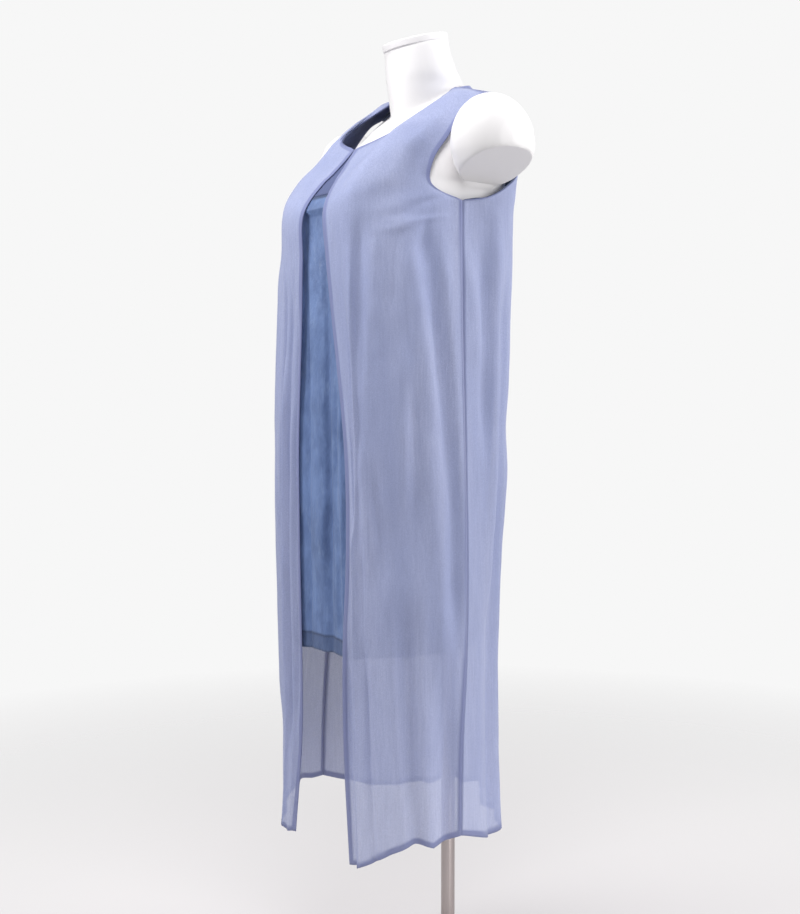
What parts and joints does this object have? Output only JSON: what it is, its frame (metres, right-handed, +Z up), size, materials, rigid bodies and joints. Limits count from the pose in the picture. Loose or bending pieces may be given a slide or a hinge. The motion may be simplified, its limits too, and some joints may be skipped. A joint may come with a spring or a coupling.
{
  "type": "summer dress on a dress form",
  "caption": "Sleeveless layered summer dress: a long sheer outer layer, open down the front, over a shorter satin slip, on a limbless dress form with a pole and a round foot.",
  "frame": {"origin": "centre of the foot's underside, on the pole's axis", "axes": "+Z up along the pole, -Y towards the dress's front, +X towards the wearer's left"},
  "size_m": [0.468, 0.461, 1.6231],
  "materials": {
    "sheer_cloth": "sheer matt georgette",
    "satin_cloth": "washed satin with a soft sheen",
    "form_white": "smooth white",
    "stand_metal": "satin metal"
  },
  "bodies": {
    "root": {"outer_front_left": "sheer_cloth", "outer_front_right": "sheer_cloth", "outer_back": "sheer_cloth", "slip_yoke": "sheer_cloth", "slip_front": "satin_cloth", "slip_back": "satin_cloth", "form_torso": "form_white", "form_neck_cap": "form_white", "stand_pole": "stand_metal", "stand_base": "stand_metal"}
  },
  "joints": []
}
